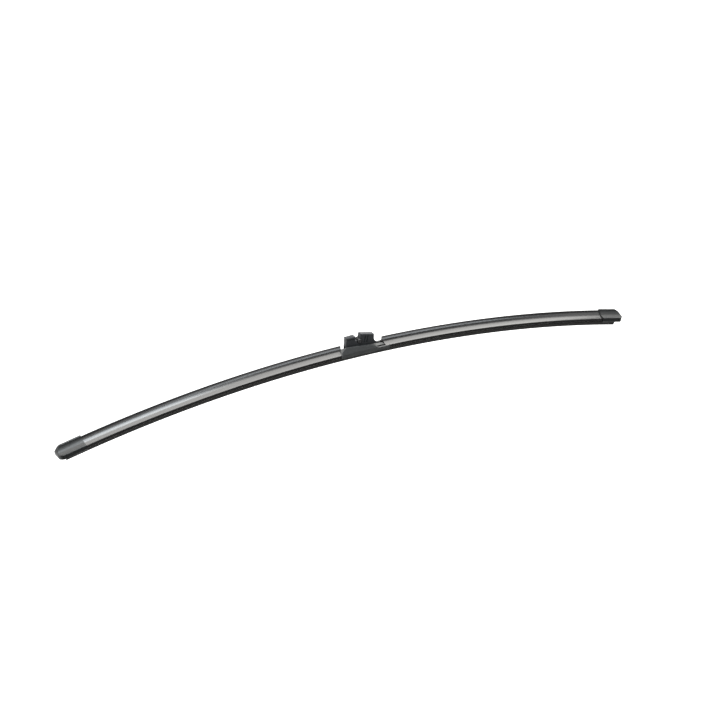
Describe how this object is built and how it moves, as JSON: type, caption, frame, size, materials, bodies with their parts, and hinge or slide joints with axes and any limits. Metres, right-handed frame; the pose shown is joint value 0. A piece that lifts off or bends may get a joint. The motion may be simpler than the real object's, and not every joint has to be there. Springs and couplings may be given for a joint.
{
  "type": "wiper blade",
  "caption": "Flat bowed wiper blade: rubber lip on spring rails under a hollow-faced spoiler, with end caps and a pivoting arm adaptor on a riveted connector base.",
  "frame": {"origin": "middle of the pivot rivet's axis, where the arm carries the blade", "axes": "+X along the blade, -Y the side with the spoiler's low edge, +Z away from the glass"},
  "size_m": [0.645, 0.0152, 0.0607],
  "materials": {
    "wiping_rubber": "matte black",
    "spring_steel": "bright rolled",
    "spoiler": "satin black",
    "end_cap": "fine grain dark grey",
    "connector": "fine grain dark grey",
    "rivet_steel": "plain",
    "adaptor": "blue-black"
  },
  "bodies": {
    "adaptor": {"adaptor_body": "adaptor"},
    "blade": {"wiping_rubber": "wiping_rubber", "front_spring_rail": "spring_steel", "rear_spring_rail": "spring_steel", "left_spoiler": "spoiler", "right_spoiler": "spoiler", "left_end_cap": "end_cap", "right_end_cap": "end_cap", "connector_base": "connector", "pivot_rivet": "rivet_steel"}
  },
  "joints": [
    {"name": "adaptor_pivot", "type": "hinge", "parent": "adaptor", "child": "blade", "pos_m": [0, 0, 0], "axis": [0, 1, 0], "range_deg": [-4, 16]}
  ]
}
